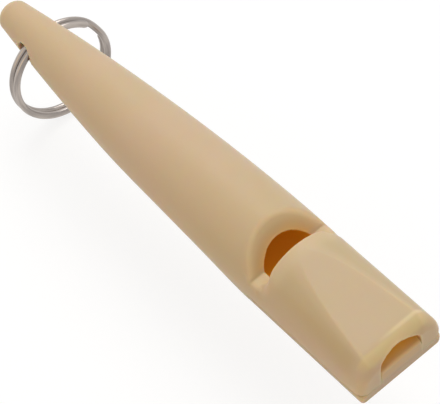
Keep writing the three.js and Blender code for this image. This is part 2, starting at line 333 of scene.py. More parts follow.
@dataclass(frozen=True)
class WhistleForm:
    """Sizes and distance fields that the whistle's body and fipple block share."""

    # Barrel and tail
    length: float = 80.0
    barrel_radius: float = 6.7
    tail_radius: float = 2.15
    taper_length: float = 58.0
    taper_power: float = 1.82
    nose_length: float = 1.7
    nose_blend: float = 0.2
    belly_slack: float = 0.37
    belly_tailwards: Reach = (27.0, 44.0)
    belly_mouthwards: Reach = (59.5, 46.0)
    belly_upwards: Reach = (0.8, -2.2)

    # Mouthpiece, base and shoulder
    base_length: float = 21.0
    axis_height: float = 1.65
    facet_angle: float = math.radians(6.2)
    facet_end_height: float = 6.5
    ridge_radius: float = 0.7
    lip_radius: float = 2.4
    lip_facing: Reach = (0.3, 0.8)
    corner_radius: float = 1.1
    flange_corner_radii: tuple[float, float] = (0.55, 0.9)
    shoulder_angle: float = math.radians(32.0)
    shoulder_wall: float = 1.6
    shoulder_blend: float = 1.6
    shoulder_blend_reach: Reach = (-2.0, -8.0)

    # Window and sound bore
    windway_length: float = 18.4
    floor_length: float = 2.1
    floor_rise: float = 2.35
    floor_edge_radius: float = 0.6
    ramp_angle: float = math.radians(52.0)
    ramp_edge_radius: float = 1.2
    floor_edge_reach: Reach = (1.2, 0.2)
    ramp_foot_radius: float = 0.12
    wall_foot_radius: float = 0.3
    wall_foot_spread: float = 1.5
    rim_radius: float = 0.16
    rim_spread: float = 1.1
    rim_reach: Reach = (-1.2, -0.2)
    bore_radius: float = 4.45
    bore_length: float = 16.0
    bore_dome_length: float = 1.8
    bore_wall_blend: float = 1.0
    beside_bore: Reach = (-0.7, 0.9)

    # Windway channel and the plug's edges in it
    channel_mouth_width: float = 6.6
    channel_window_width: float = 8.4
    channel_spring: float = 3.0
    channel_mouth_rise: float = 3.98
    channel_window_rise: float = 4.9
    channel_corner_radius: float = 0.6
    channel_edge_radius: float = 0.2
    channel_edge_reach: Reach = (-0.4, 0.3)
    plug_edge_radius: float = 0.02
    plug_brow_radius: float = 0.35
    plug_brow_reach: Reach = (-0.9, -0.2)
    plug_foot_radius: float = 0.1
    sink_width: float = 0.3
    sink_depth: float = 0.03
    sink_foot: Reach = (-0.3, 0.3)

    # Fipple block and its seams
    flange_thickness: float = 1.4
    block_mouth_rise: float = 1.85
    block_window_rise: float = 3.9
    block_clearance: float = 0.006
    seam_radius: float = 0.02
    side_seam_radius: float = 0.2
    side_seam_reach: Reach = (-1.5, -0.3)
    side_seam_start: Reach = (0.0, 1.0)
    corner_seam_radii: tuple[float, float] = (0.3, 0.7)
    corner_seam_reach: Reach = (-2.0, -0.8)
    rear_seam_radius: float = 0.04
    base_edge_radius: float = 0.25
    side_change: Reach = (-1.0, 1.0)

    # Tail hole
    hole_from_tail: float = 7.8
    hole_radius: float = 1.49
    hole_edge_radius: float = 0.14
    hole_flare: float = 0.34
    hole_flare_reach: Reach = (2.75, 3.4)
    hole_flare_rise: Reach = (-1.7, -0.8)

    @property
    def mouth_x(self) -> float:
        """Place of the end face."""
        return self.base_length / 2.0

    @property
    def tail_x(self) -> float:
        """Place of the tail's tip."""
        return self.mouth_x - self.length

    @property
    def base_rear_x(self) -> float:
        """Place of the flat base's rear edge."""
        return -self.base_length / 2.0

    @property
    def window_front_x(self) -> float:
        """Place of the mouthpiece's rear wall."""
        return self.mouth_x - self.windway_length

    @property
    def floor_z(self) -> float:
        """Height of the window's floor strips."""
        return self.axis_height + self.floor_rise

    @property
    def hole_x(self) -> float:
        """Place of the tail hole."""
        return self.tail_x + self.hole_from_tail

    def barrel(self, x: Array, y: Array, z: Array) -> Array:
        """Field of the round barrel with its taper, its slack belly and its domed tail."""
        nose_x = self.tail_x + self.nose_length
        from_tail = soft_step(x - nose_x, self.nose_blend) + self.nose_length
        left = np.clip(1.0 - from_tail / self.taper_length, 0.0, 1.0)
        radius = self.barrel_radius - (self.barrel_radius - self.tail_radius) * left**self.taper_power
        slack = fade(from_tail, *self.belly_tailwards) * fade(from_tail, *self.belly_mouthwards)
        below = fade(z - self.axis_height, *self.belly_upwards)
        radius = radius - self.belly_slack * slack * below
        nose = np.minimum(x - nose_x, 0.0) * radius / self.nose_length
        return np.sqrt(y**2 + (z - self.axis_height) ** 2 + nose**2) - radius

    def facing(self, y: Array, z: Array) -> Array:
        """Cosine of the angle between straight up and the barrel's surface."""
        rise = z - self.axis_height
        return rise / np.maximum(np.hypot(y, rise), TINY)

    def facet(self, x: Array, z: Array) -> Array:
        """Field of what lies under the mouthpiece's sloping facet."""
        sine, cosine = math.sin(self.facet_angle), math.cos(self.facet_angle)
        return (x - self.mouth_x) * sine + (z - self.facet_end_height) * cosine

    def sided(self, y: Array, sizes: tuple[float, float]) -> Array:
        """Goes from the first size on the whistle's left to the second on its right."""
        return sizes[0] + (sizes[1] - sizes[0]) * fade(y, *self.side_change)

    def outside(self, x: Array, y: Array, z: Array, corner: Array | float) -> Array:
        """Field of the barrel with the mouthpiece's facet, lip and end face.

        Args:
            x: Places along the whistle.
            y: Places across it.
            z: Heights.
            corner: Radius of the upright corners at the mouth.

        Returns:
            The field.
        """
        ridge = edge_width(math.cos(self.facet_angle) * self.facing(y, z), self.ridge_radius)
        top = smooth_max(self.barrel(x, y, z), self.facet(x, z), ridge)
        lip_share = fade(self.facing(y, z), *self.lip_facing)
        radius = corner + (self.lip_radius - corner) * lip_share
        return round_max(top, x - self.mouth_x + self.plug_sink(y, z), radius)

    def plug_sink(self, y: Array, z: Array) -> Array:
        """How far the end face sinks along the plug's sides."""
        from_side = (np.abs(y) - self.channel_mouth_width / 2.0) / self.sink_width
        below_slot = fade_near(z, self.axis_height, (self.channel_spring, self.block_mouth_rise))
        above_flange = fade_near(z, self.flange_thickness, self.sink_foot)
        return self.sink_depth * np.exp(-(from_side**2)) * below_slot * above_flange

    def shoulder(self, x: Array, z: Array) -> Array:
        """Field of what lies above the shoulder's slope."""
        line = (x - self.base_rear_x) * math.tan(self.shoulder_angle)
        return (line - z) * math.cos(self.shoulder_angle)

    def ramp(self, x: Array, z: Array) -> Array:
        """Field of what lies behind the window's ramp."""
        foot_x = self.window_front_x - self.floor_length
        sine, cosine = math.sin(self.ramp_angle), math.cos(self.ramp_angle)
        return (x - foot_x) * sine + (z - self.floor_z) * cosine

    def bore(self, x: Array, y: Array, z: Array) -> Array:
        """Field of the sound bore: blind behind, and cut off below by the shoulder's wall."""
        dome_x = self.window_front_x - self.bore_length + self.bore_dome_length
        dome = np.minimum(x - dome_x, 0.0) * self.bore_radius / self.bore_dome_length
        tube = np.sqrt(y**2 + (z - self.axis_height) ** 2 + dome**2) - self.bore_radius
        wall = self.shoulder(x, z) + self.shoulder_wall
        front = x - self.window_front_x - self.rim_radius
        return smooth_max(smooth_max(tube, wall, self.bore_wall_blend), front, self.rim_radius)

    def channel(self, x: Array, y: Array, z: Array, gap: float) -> Array:
        """Field of the arched windway, open below.

        Args:
            x: Places along the whistle.
            y: Places across it.
            z: Heights.
            gap: What is taken off its width and arch.

        Returns:
            The field.
        """
        share = (self.mouth_x - x) / self.windway_length
        widening = self.channel_window_width - self.channel_mouth_width
        half = (self.channel_mouth_width + widening * share) / 2.0 - gap
        top = self.channel_mouth_rise + (self.channel_window_rise - self.channel_mouth_rise) * share
        rise = top - self.channel_spring - gap
        spring_z = self.axis_height + self.channel_spring
        radius = (half**2 + rise**2) / (2.0 * rise)
        arch = np.hypot(y, z - (spring_z + rise - radius)) - radius
        arch = np.where(z < spring_z, np.minimum(arch, z - spring_z), arch)
        section = smooth_max(np.abs(y) - half, arch, self.channel_corner_radius)
        rear = self.window_front_x - self.rim_radius - x
        return smooth_max(section, rear, self.rim_radius)

    def tail_hole(self, x: Array, y: Array, z: Array) -> Array:
        """Field of the cross hole, whose mouths flare above where the ring leaves them."""
        rise = z - self.axis_height
        flare = fade(np.abs(y), *self.hole_flare_reach) * fade(rise, *self.hole_flare_rise)
        return np.hypot(x - self.hole_x, rise) - self.hole_radius - self.hole_flare * flare

    def seam(self, x: Array, y: Array) -> Array:
        """Blend width along the flange's seam: tight on the end face, open at the sides and corners."""
        beside = fade_near(np.abs(y), self.barrel_radius, self.side_seam_reach)
        corner = fade_near(x, self.mouth_x, self.corner_seam_reach)
        opening = self.side_seam_radius + self.sided(y, self.corner_seam_radii) * corner
        return self.seam_radius + opening * beside

    def outward(self, y: Array) -> Array:
        """Rises from 0 over the bore to 1 at the whistle's sides."""
        return fade_near(np.abs(y), self.bore_radius, self.beside_bore)

    def window(self, x: Array, y: Array, z: Array) -> Array:
        """Field of the window cut: over its floor, between the ramp and the mouthpiece's rear wall."""
        foot = smooth_max(-self.ramp(x, z), self.floor_z - z, self.ramp_foot_radius)
        fillet = self.wall_foot_radius + self.wall_foot_spread * self.outward(y)
        return smooth_max(foot, x - self.window_front_x, fillet)

    def window_edge(self, x: Array, y: Array, z: Array) -> Array:
        """Blend width along the window's edges: wide on the ramp's brow, tight on the front rim."""
        brow = edge_width(math.cos(self.ramp_angle) * self.facing(y, z), self.ramp_edge_radius)
        near_floor = fade_near(z, self.floor_z, self.floor_edge_reach)
        near_front = fade_near(x, self.window_front_x, self.rim_reach)
        width = brow + (self.floor_edge_radius - brow) * near_floor
        rim = self.rim_radius + self.rim_spread * self.outward(y)
        return width + (rim - width) * near_front

    def body(self, x: Array, y: Array, z: Array) -> Array:
        """Field of the whistle's body."""
        step = x - (self.base_rear_x - self.block_clearance)
        below = smooth_max(self.shoulder(x, z), step, self.rear_seam_radius)
        below = np.minimum(below, self.flange_thickness - z)
        behind = fade_near(x, self.base_rear_x, self.shoulder_blend_reach)
        beside = fade_near(x, self.base_rear_x, self.side_seam_start)
        blend = self.rear_seam_radius + self.shoulder_blend * behind + self.seam(x, y) * beside
        shell = smooth_max(self.outside(x, y, z, self.corner_radius), below, blend)

        solid = smooth_max(shell, -self.window(x, y, z), self.window_edge(x, y, z))
        solid = smooth_max(solid, -self.bore(x, y, z), self.rim_radius)
        over_plug = fade_near(z - self.axis_height, self.channel_spring, self.channel_edge_reach)
        edge = self.plug_edge_radius + (self.channel_edge_radius - self.plug_edge_radius) * over_plug
        solid = smooth_max(solid, -self.channel(x, y, z, 0.0), SQUARE_EDGE * edge)
        return smooth_max(solid, -self.tail_hole(x, y, z), SQUARE_EDGE * self.hole_edge_radius)

    def block(self, x: Array, y: Array, z: Array) -> Array:
        """Field of the fipple block: its base flange and the plug under the windway."""
        gap = self.block_clearance
        flange = self.outside(x, y, z, self.sided(y, self.flange_corner_radii))
        flange = smooth_max(flange, -z, SQUARE_EDGE * self.base_edge_radius)
        flange = smooth_max(flange, z - self.flange_thickness + gap / 2.0, self.seam(x, y))
        flange = smooth_max(flange, self.base_rear_x - x, self.rear_seam_radius)

        share = (self.mouth_x - x) / self.windway_length
        rise = self.block_mouth_rise + (self.block_window_rise - self.block_mouth_rise) * share
        plug = smooth_max(self.channel(x, y, z, gap), z - self.axis_height - rise, self.rim_radius)
        plug = smooth_max(plug, self.flange_thickness / 2.0 - z, self.seam_radius)
        brow = fade_near(z - self.axis_height, self.block_mouth_rise, self.plug_brow_reach)
        plug = smooth_max(plug, x - self.mouth_x, self.plug_edge_radius + self.plug_brow_radius * brow)
        plug = smooth_max(plug, self.window_front_x - x, self.rim_radius)
        return smooth_min(flange, plug, self.plug_foot_radius)


@dataclass(frozen=True)
class ToneMap:
    """Where the whistle's plastic takes its other tones, each as a share from 0 to 1; all of them are
    painted light and shade.
    """

    form: WhistleForm
    skin: Reach = (-0.3, -0.05)
    upper_side: Reach = (0.5, 0.72)

    # Painted highlight, the pale tone: the lip's line, the window and the rear rim
    lip_line: float = 1.95
    lip_line_width: float = 0.3
    lip_line_across: Reach = (-3.4, 2.4)
    ramp_depth: Reach = (0.5, 0.1)
    ramp_foot: Reach = (0.05, 0.4)
    ramp_from_bore: Reach = (0.5, 1.7)
    ramp_highlight: float = 0.5
    strip_depth: Reach = (0.3, 0.1)
    strip_front: Reach = (0.1, 0.4)
    strip_rear: Reach = (2.4, 2.0)
    strip_highlight: float = 0.4
    rim_front: Reach = (-3.8, -1.2)
    rim_rear: Reach = (0.4, 0.1)
    rim_highlight: float = 0.3

    # Painted warm light, a lighter yellow tone: the band over the lip, and the mouth's left corner
    warm_light_rear: Reach = (0.0, 1.6)
    warm_light_front: Reach = (-0.2, -0.7)
    warm_light_corner_along: Reach = (-4.0, -1.4)
    warm_light_corner_across: Reach = (-4.2, -5.6)
    warm_light_corner_up: Reach = (5.0, 3.4)
    warm_light_corner: float = 0.4

    # Painted shade, a darker tone: the mouthpiece's sides
    side_shade_top: Reach = (0.0, -0.8)
    side_shade_foot: Reach = (-3.8, -1.5)
    side_shade_rear: Reach = (0.4, 2.4)
    side_shade_front: Reach = (-1.2, -3.2)

    # Painted shade on the flange: its sides and lower edge
    flange_shade_rim: Reach = (-0.6, -0.2)
    flange_shade_side_up: Reach = (1.5, 0.9)
    flange_shade_side_front: Reach = (-0.6, -1.6)
    flange_shade_side: float = 0.4
    flange_shade_foot_up: Reach = (0.8, 0.2)
    flange_shade_foot: float = 0.3

    # Painted reflection, a lighter and bluer tone: the mouthpiece's top
    painted_sheen_rear: Reach = (-0.3, 0.3)
    painted_sheen_up: Reach = (-0.6, 0.3)

    # Painted glow of light through the plastic: the bore, the thin wall beside it and the windway
    bore_depth: Reach = (0.35, 0.05)
    behind_ramp: Reach = (0.02, -0.25)
    low_bore_depth: Reach = (0.3, 0.0)
    under_floor: Reach = (0.0, -0.4)
    thin_wall: float = 0.34
    thin_wall_right: float = 0.12
    thin_wall_across: Reach = (0.0, 4.0)
    thin_wall_reach: float = 0.9
    thin_wall_foot: Reach = (0.1, 0.8)
    windway: float = 0.75
    windway_wall: Reach = (0.12, -0.02)
    windway_depth: Reach = (-0.75, 1.9)
    windway_foot: Reach = (0.0, 1.0)

    def shares(self, points: Array) -> dict[Trait, Array]:
        """Gives the share of every tone at a mesh's points.

        Args:
            points: Rows of x, y and z.

        Returns:
            The shares, by the trait that carries them.
        """
        place = tuple(points.T)
        return {
            Trait.PAINTED_GLOW: self.painted_glow(*place),
            Trait.PAINTED_HIGHLIGHT: self.painted_highlight_share(*place),
            Trait.PAINTED_WARM_LIGHT: self.warm_light_share(*place),
            Trait.PAINTED_SIDE_SHADE: self.side_shade_share(*place),
            Trait.PAINTED_FLANGE_SHADE: self.flange_shade_share(*place),
            Trait.PAINTED_SHEEN: self.painted_sheen(*place),
        }

    def on_skin(self, x: Array, y: Array, z: Array) -> Array:
        """1 on the whistle's outside, fading to 0 under it."""
        return fade(self.form.outside(x, y, z, self.form.corner_radius), *self.skin)

    def on_top(self, x: Array, y: Array, z: Array) -> Array:
        """1 on the outside's upper side, fading to 0 at the sides and under the skin."""
        return self.on_skin(x, y, z) * fade(self.form.facing(y, z), *self.upper_side)

    def painted_highlight_share(self, x: Array, y: Array, z: Array) -> Array:
        """Share of the pale tone, a painted highlight: on the lip's upper line and round the window.

        Args:
            x: Places along the whistle.
            y: Places across it.
            z: Heights.

        Returns:
            The share.
        """
        form = self.form
        past = (x - form.mouth_x + self.lip_line) / self.lip_line_width
        lip = np.exp(-(past**2)) * fade(y, *self.lip_line_across) * self.on_top(x, y, z)
        above_floor = z - form.floor_z
        ramp = fade(np.abs(form.ramp(x, z)), *self.ramp_depth) * fade(above_floor, *self.ramp_foot)
        ramp = self.ramp_highlight * ramp * fade(form.bore(x, y, z), *self.ramp_from_bore)
        behind = form.window_front_x - x
        strip = fade(behind, *self.strip_front) * fade(behind, *self.strip_rear)
        strip = self.strip_highlight * strip * fade(np.abs(above_floor), *self.strip_depth)
        rim = fade(behind, *self.rim_front) * fade(behind, *self.rim_rear)
        rim = self.rim_highlight * rim * self.on_top(x, y, z)
        return np.maximum.reduce([lip, ramp, strip, rim])

    def warm_light_share(self, x: Array, y: Array, z: Array) -> Array:
        """Share of the painted warm light: in a band over the lip and at the mouth's left corner."""
        from_mouth = x - self.form.mouth_x
        past = (from_mouth + self.lip_line) / self.lip_line_width
        band = fade(past, *self.warm_light_rear) * fade(from_mouth, *self.warm_light_front)
        corner = fade(from_mouth, *self.warm_light_corner_along) * fade(y, *self.warm_light_corner_across)
        corner = self.warm_light_corner * corner * fade(z, *self.warm_light_corner_up)
        return np.maximum(band * self.on_top(x, y, z), corner)

    def side_shade_share(self, x: Array, y: Array, z: Array) -> Array:
        """Share of the painted shade: on the mouthpiece's sides, below the facet's ridge."""
        form = self.form
        below = form.facet(x, z)
        band = fade(below, *self.side_shade_top) * fade(below, *self.side_shade_foot)
        along = fade_near(x, form.window_front_x, self.side_shade_rear)
        along = along * fade_near(x, form.mouth_x, self.side_shade_front)
        return band * along * self.on_skin(x, y, z)

    def flange_shade_share(self, x: Array, y: Array, z: Array) -> Array:
        """Share of the painted shade on the flange: on its sides and along its lower edge."""
        form = self.form
        rim = fade(form.outside(x, y, z, form.sided(y, form.flange_corner_radii)), *self.flange_shade_rim)
        side = fade(z, *self.flange_shade_side_up) * fade_near(x, form.mouth_x, self.flange_shade_side_front)
        foot = fade(z, *self.flange_shade_foot_up)
        return rim * np.maximum(self.flange_shade_side * side, self.flange_shade_foot * foot)

    def painted_sheen(self, x: Array, y: Array, z: Array) -> Array:
        """Share of the clearer tone, a painted reflection: on the mouthpiece's facet, lip and rear rim.
        """
        along = fade(x - self.form.window_front_x, *self.painted_sheen_rear)
        high = fade(z - self.form.facet_end_height, *self.painted_sheen_up)
        return along * high * self.on_top(x, y, z)

    def painted_glow(self, x: Array, y: Array, z: Array) -> Array:
        """Share of the painted glow, for light that comes through the plastic: in the bore, beside it
        and in the windway.

        Args:
            x: Places along the whistle.
            y: Places across it.
            z: Heights.

        Returns:
            The share, from 0 on the outside to 1 far inside the bore.
        """
        form = self.form
        bore, ramp, above_floor = form.bore(x, y, z), form.ramp(x, z), z - form.floor_z
        in_bore = fade(bore, *self.bore_depth) * fade(ramp, *self.behind_ramp)
        low_bore = fade(bore, *self.low_bore_depth) * fade(above_floor, *self.under_floor)
        thin = self.thin_wall + self.thin_wall_right * fade(y, *self.thin_wall_across)
        thin = thin * np.exp(-np.maximum(bore, 0.0) / self.thin_wall_reach)
        thin = thin * fade(np.abs(ramp), *self.ramp_depth) * fade(above_floor, *self.thin_wall_foot)
        windway = fade(form.channel(x, y, z, 0.0), *self.windway_wall)
        windway = self.windway * windway * fade(form.mouth_x - x, *self.windway_depth)
        windway = windway * fade(z - form.flange_thickness, *self.windway_foot)
        return np.clip(np.maximum.reduce([in_bore, low_bore, thin, windway]), 0.0, 1.0)


# Finishes


def opaque(colour: Any) -> Any:
    """Gives a plain colour full alpha, and leaves a socket as it is."""
    return colour if isinstance(colour, bpy.types.NodeSocket) else (*colour, 1.0)


@dataclass(frozen=True)
class Noise:
    """Settings of a noise texture; a seed picks another pattern of the same kind."""

    scale: float
    detail: float
    roughness: float
    seed: float | None = None


class NodeBoard:
    """Adds and wires the nodes of one tree."""

    def __init__(self, tree: bpy.types.NodeTree) -> None:
        """Takes a tree and empties it."""
        self.tree = tree
        tree.nodes.clear()

    def add(self, kind: str, inputs: dict[str, Any] | None = None, **settings: Any) -> bpy.types.Node:
        """Adds a node.

        Args:
            kind: Blender's name for the node type.
            inputs: Values or output sockets for its inputs, by name or identifier.
            **settings: The node's own properties.

        Returns:
            The node.
        """
        node = self.tree.nodes.new(kind)
        for name, value in settings.items():
            setattr(node, name, value)
        for name, value in (inputs or {}).items():
            self.feed(self.socket(node, name), value)
        return node

    def feed(self, socket: bpy.types.NodeSocket, value: Any) -> None:
        """Links an output socket to an input, or sets the input's value."""
        if isinstance(value, bpy.types.NodeSocket):
            self.tree.links.new(value, socket)
        else:
            socket.default_value = value

    @staticmethod
    def socket(node: bpy.types.Node, name: str) -> bpy.types.NodeSocket:
        """Finds an input by its identifier, or else by its name."""
        return next((s for s in node.inputs if s.identifier == name), None) or node.inputs[name]

    def math(self, operation: str, a: Any, b: Any = 0.0) -> bpy.types.NodeSocket:
        """Adds a shader math node and gives its result."""
        inputs = {"Value": a, "Value_001": b}
        return self.add("ShaderNodeMath", inputs, operation=operation).outputs[0]

    def blend(self, share: Any, a: Any, b: Any, how: str = "MIX") -> bpy.types.NodeSocket:
        """Adds a colour mix.

        Args:
            share: How much of the second colour.
            a: First colour, as a socket or a value.
            b: Second colour.
            how: The blend type.

        Returns:
            The mixed colour.
        """
        inputs = {"Factor_Float": share, "A_Color": opaque(a), "B_Color": opaque(b)}
        node = self.add("ShaderNodeMix", inputs, data_type="RGBA", blend_type=how)
        return next(s for s in node.outputs if s.identifier == "Result_Color")

    def trait(self, name: Trait) -> bpy.types.NodeSocket:
        """Reads a value that the mesh carries."""
        return self.add("ShaderNodeAttribute", attribute_name=name.value).outputs["Fac"]

    def spread(self, source: Any, reach: Ends, result: Ends = UNIT) -> bpy.types.NodeSocket:
        """Maps a value from one range to another, smoothly and clamped.

        Args:
            source: The value.
            reach: Start and end of its range.
            result: What it becomes at the start and at the end.

        Returns:
            The mapped value.
        """
        inputs = dict(zip(("From Min", "From Max", "To Min", "To Max"), (*reach, *result)))
        inputs["Value"] = source
        return self.add("ShaderNodeMapRange", inputs, interpolation_type="SMOOTHSTEP").outputs[0]

    def noise(self, place: Any, noise: Noise) -> bpy.types.NodeSocket:
        """Adds a noise texture and gives its value."""
        inputs = {
            "Vector": place,
            "Scale": noise.scale,
            "Detail": noise.detail,
            "Roughness": noise.roughness,
        }
        if noise.seed is None:
            return self.add("ShaderNodeTexNoise", inputs).outputs[0]
        inputs["W"] = noise.seed
        return self.add("ShaderNodeTexNoise", inputs, noise_dimensions="4D").outputs[0]

    def bump(self, height: Any, strength: float, depth: float) -> bpy.types.NodeSocket:
        """Adds a bump and gives its normal."""
        inputs = {"Strength": strength, "Distance": depth, "Height": height}
        return self.add("ShaderNodeBump", inputs).outputs[0]


def new_material(name: str) -> tuple[bpy.types.Material, NodeBoard]:
    """Makes a material without nodes, and the board to lay its nodes on."""
    material = bpy.data.materials.new(name)
    material.use_nodes = True
    return material, NodeBoard(material.node_tree)


@dataclass(frozen=True)
class MouldedPlastic:
    """Satin moulded plastic, with a painted glow where light comes through it, and painted highlights
    and shade in its colour.
    """

    name: str
    base: Colour = (0.604, 0.451, 0.275)
    blush: Colour = (0.616, 0.453, 0.290)
    ochre: Colour = (0.594, 0.447, 0.258)
    # painted shade: darker tone for the mouthpiece's sides
    painted_side_shade: Colour = (0.563, 0.418, 0.233)
    # painted highlight: lighter tone for the lip's line, the window, the rear rim and sharp edges
    pale: Colour = (0.740, 0.590, 0.345)
    # painted warm light: lighter, yellower tone over the lip and at the left corner
    painted_warm_light: Colour = (0.672, 0.525, 0.272)
    # painted reflection: lightens the mouthpiece's top, more in blue
    painted_sheen: Colour = (1.012, 1.04, 1.07)
    # painted shade: darker tone for the flange's sides and lower edge
    painted_flange_shade: Colour = (0.38, 0.315, 0.165)
    # painted glow: amber and orange for light through the plastic in the hollows
    glow_amber: Colour = (0.92, 0.47, 0.020)
    glow: Colour = (0.80, 0.30, 0.012)
    painted_glow_reach: Reach = (0.75, 1.0)
    shine_through: Colour = (0.050, 0.034, 0.0015)

    cloud: Noise = Noise(75.0, 3.0, 0.45)
    ochre_clouds: Reach = (0.35, 0.5)
    blush_clouds: Reach = (0.5, 0.66)
    rough_clouds: Reach = (0.3, 0.7)
    roughness: Ends = (0.46, 0.56)
    grain: Noise = Noise(2600.0, 2.0, 0.6)
    grain_strength: float = 0.35
    grain_depth: float = 0.000012

    refraction: float = 1.48
    gloss: float = 0.32
    bloom: Colour = (0.6, 0.82, 1.0)
    bloom_weight: float = 0.2
    bloom_roughness: float = 0.35
    scatter_weight: float = 0.6
    scatter_radii: Colour = (1.0, 0.4, 0.14)
    scatter_scale: float = 0.0014

    def make(self) -> bpy.types.Material:
        """Builds the material."""
        material, board = new_material(self.name)
        place = board.add("ShaderNodeTexCoord").outputs["Object"]
        cloud, grain = board.noise(place, self.cloud), board.noise(place, self.grain)
        painted_glow = board.trait(Trait.PAINTED_GLOW)
        shader = board.add(
            "ShaderNodeBsdfPrincipled",
            {
                "Base Color": self._colour(board, cloud, painted_glow),
                "Roughness": board.spread(cloud, self.rough_clouds, self.roughness),
                "IOR": self.refraction,
                "Specular IOR Level": self.gloss,
                "Sheen Weight": self.bloom_weight,
                "Sheen Roughness": self.bloom_roughness,
                "Sheen Tint": opaque(self.bloom),
                "Subsurface Weight": self.scatter_weight,
                "Subsurface Radius": self.scatter_radii,
                "Subsurface Scale": self.scatter_scale,
                # painted glow: the hollows give off faint light of their own, for light through the
                # plastic
                "Emission Color": opaque(self.shine_through),
                "Emission Strength": painted_glow,
                "Normal": board.bump(grain, self.grain_strength, self.grain_depth),
            },
        ).outputs[0]
        board.add("ShaderNodeOutputMaterial", {"Surface": shader})
        return material

    def _colour(self, board: NodeBoard, cloud: Any, painted_glow: Any) -> bpy.types.NodeSocket:
        """Lays the tones over the clouded base, one after another: painted shade, painted warm light,
        painted highlight, painted reflection, painted shade on the flange and the painted glow.

        Args:
            board: The material's nodes.
            cloud: The clouds' value.
            painted_glow: Share of the light that comes through.

        Returns:
            The plastic's colour.
        """
        colour = board.blend(board.spread(cloud, self.ochre_clouds, UNIT[::-1]), self.base, self.ochre)
        colour = board.blend(board.spread(cloud, self.blush_clouds), colour, self.blush)
        # painted shade on the mouthpiece's sides
        colour = board.blend(board.trait(Trait.PAINTED_SIDE_SHADE), colour, self.painted_side_shade)
        # painted warm light over the lip and at the left corner
        colour = board.blend(board.trait(Trait.PAINTED_WARM_LIGHT), colour, self.painted_warm_light)
        # painted highlight on the lip's line, round the window and on sharp edges
        colour = board.blend(board.spread(board.trait(Trait.PAINTED_HIGHLIGHT), UNIT), colour, self.pale)
        # painted reflection on the mouthpiece's top
        colour = board.blend(board.trait(Trait.PAINTED_SHEEN), colour, self.painted_sheen, "MULTIPLY")
        # painted shade on the flange
        colour = board.blend(board.trait(Trait.PAINTED_FLANGE_SHADE), colour, self.painted_flange_shade)
        # painted glow in the bore and the windway
        colour = board.blend(painted_glow, colour, self.glow_amber)
        return board.blend(board.spread(painted_glow, self.painted_glow_reach), colour, self.glow)


@dataclass(frozen=True)
class DrawnSteel:
    """Bright plated wire with fine lines along its draw."""

    name: str
    base: Colour = (0.49, 0.437, 0.396)
    dull: Colour = (0.295, 0.261, 0.240)
    streaks: Noise = Noise(1.6, 3.0, 0.5, seed=2.7)
    streaks_along: float = 9.0
    streaks_around: float = 3.0
    bright_streaks: Reach = (0.35, 0.65)
    rough_streaks: Reach = (0.3, 0.7)
    roughness: Ends = (0.27, 0.38)
    line_strength: float = 0.25
    line_depth: float = 0.00002

    def make(self) -> bpy.types.Material:
        """Builds the material."""
        material, board = new_material(self.name)
        along = board.math("MULTIPLY", board.trait(Trait.ALONG), self.streaks_along)
        around = board.math("MULTIPLY", board.trait(Trait.AROUND), self.streaks_around)
        draw = board.add("ShaderNodeCombineXYZ", {"X": along, "Y": around}).outputs[0]
        lines = board.noise(draw, self.streaks)
        bright = board.spread(lines, self.bright_streaks)
        shader = board.add(
            "ShaderNodeBsdfPrincipled",
            {
                "Base Color": board.blend(bright, self.dull, self.base),
                "Metallic": 1.0,
                "Roughness": board.spread(lines, self.rough_streaks, self.roughness),
                "Normal": board.bump(lines, self.line_strength, self.line_depth),
            },
        ).outputs[0]
        board.add("ShaderNodeOutputMaterial", {"Surface": shader})
        return material


# Pieces


def place_piece(name: str, mesh: bpy.types.Mesh, body: Body, node: str) -> bpy.types.Object:
    """Puts a finished mesh on its CAD body in place of a CAD node.

    Args:
        name: The piece's name.
        mesh: Its mesh, in the row frame.
        body: The body it moves with.
        node: The CAD node it stands for.

    Returns:
        The piece.
    """
    piece = bpy.data.objects.new(name, mesh)
    bpy.context.scene.collection.objects.link(piece)
    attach(piece, body.value)
    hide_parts(node)
    LOG.info("%s: %d faces, on %s", name, len(mesh.polygons), body.value)
    return piece


@dataclass
class Moulding:
    """A moulded piece of the whistle, meshed from one of its form's fields."""

    name: str
    node: str
    slot: str
    shape: Field
    mesher: FieldMesher
    tones: ToneMap
    finish: MouldedPlastic
    edge_probe: float = 0.25
    edge_bend: Reach = (0.5, 1.8)
    # painted highlight on sharp outward edges
    edge_highlight: float = 0.35

    def build(self) -> bpy.types.Object:
        """Meshes the piece, gives it its traits and puts it on the whistle."""
        points, normals, quads = self.mesher.mesh(self.shape)
        mesh = bpy.data.meshes.new(self.name)
        mesh.from_pydata((points * MM).tolist(), [], quads.tolist())
        mesh.polygons.foreach_set("use_smooth", np.ones(len(quads), bool))
        mesh.normals_split_custom_set_from_vertices(normals.tolist())
        shares = self.tones.shares(points)
        # painted highlight: sharp outward edges are lightened
        shares[Trait.PAINTED_HIGHLIGHT] = np.maximum(self._edge_highlight(points), shares[Trait.PAINTED_HIGHLIGHT])
        for trait, values in shares.items():
            self._carry(mesh, trait, values)
        mesh.materials.append(self.finish.make())
        return place_piece(self.name, mesh, Body.WHISTLE, self.node)

    def _edge_highlight(self, points: Array) -> Array:
        """Paints highlight on sharp outward edges, by how sharply the surface bends outwards.

        Args:
            points: The mesh's points.

        Returns:
            Share of the pale tone as a painted highlight, from 0 where it is flat, hollow or gently
            round.
        """
        bend = -2.0 * len(AXES) * self.shape(*points.T)
        for axis in AXES:
            step = np.zeros(len(AXES))
            step[axis] = self.edge_probe
            bend += self.shape(*(points + step).T) + self.shape(*(points - step).T)
        return self.edge_highlight * fade(bend / self.edge_probe**2, *self.edge_bend)

    @staticmethod
    def _carry(mesh: bpy.types.Mesh, trait: Trait, values: Array) -> None:
        """Stores one value for each point."""
        layer = mesh.attributes.new(trait.value, "FLOAT", "POINT")
        layer.data.foreach_set("value", values.astype(np.float32))


